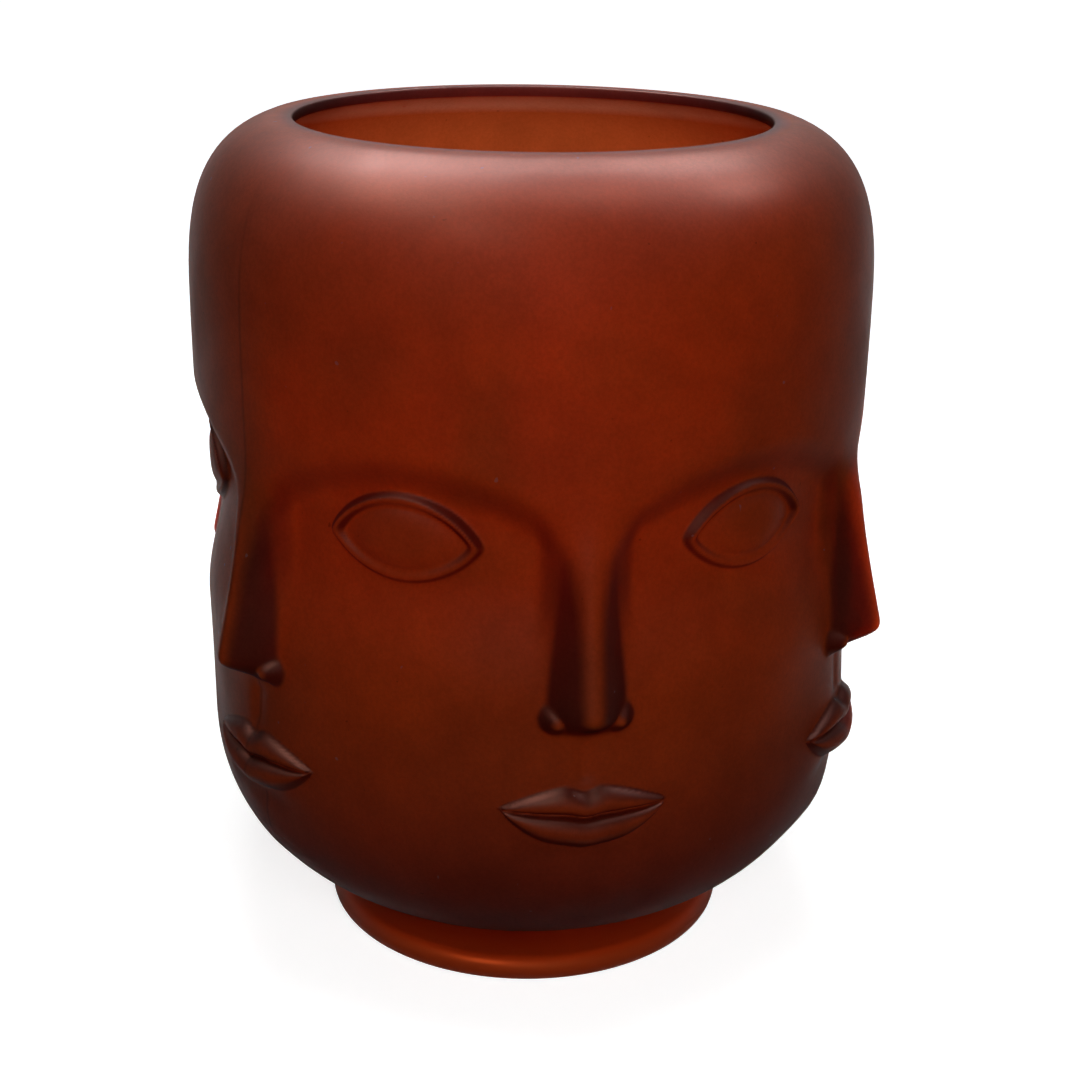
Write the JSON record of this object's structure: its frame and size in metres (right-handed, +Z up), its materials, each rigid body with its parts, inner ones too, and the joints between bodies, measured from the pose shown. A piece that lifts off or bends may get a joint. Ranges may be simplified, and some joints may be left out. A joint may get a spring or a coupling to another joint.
{
  "type": "face planter",
  "caption": "Round-shouldered frosted glass planter ringed by plain sculpted faces that share their eyes, with a flat ground rim and a flared glass foot.",
  "frame": {"origin": "on the floor, under the planter's centre", "axes": "+Z up through the opening; one face looks along -Y, the others follow every sixty degrees"},
  "size_m": [0.2, 0.2218, 0.25],
  "materials": {
    "frosted_glass": "acid-frosted amber-brown glass, matt",
    "foot_glass": "amber-brown glass, satin"
  },
  "bodies": {
    "root": {"glass_vessel": "frosted_glass", "glass_foot": "foot_glass"}
  },
  "joints": []
}
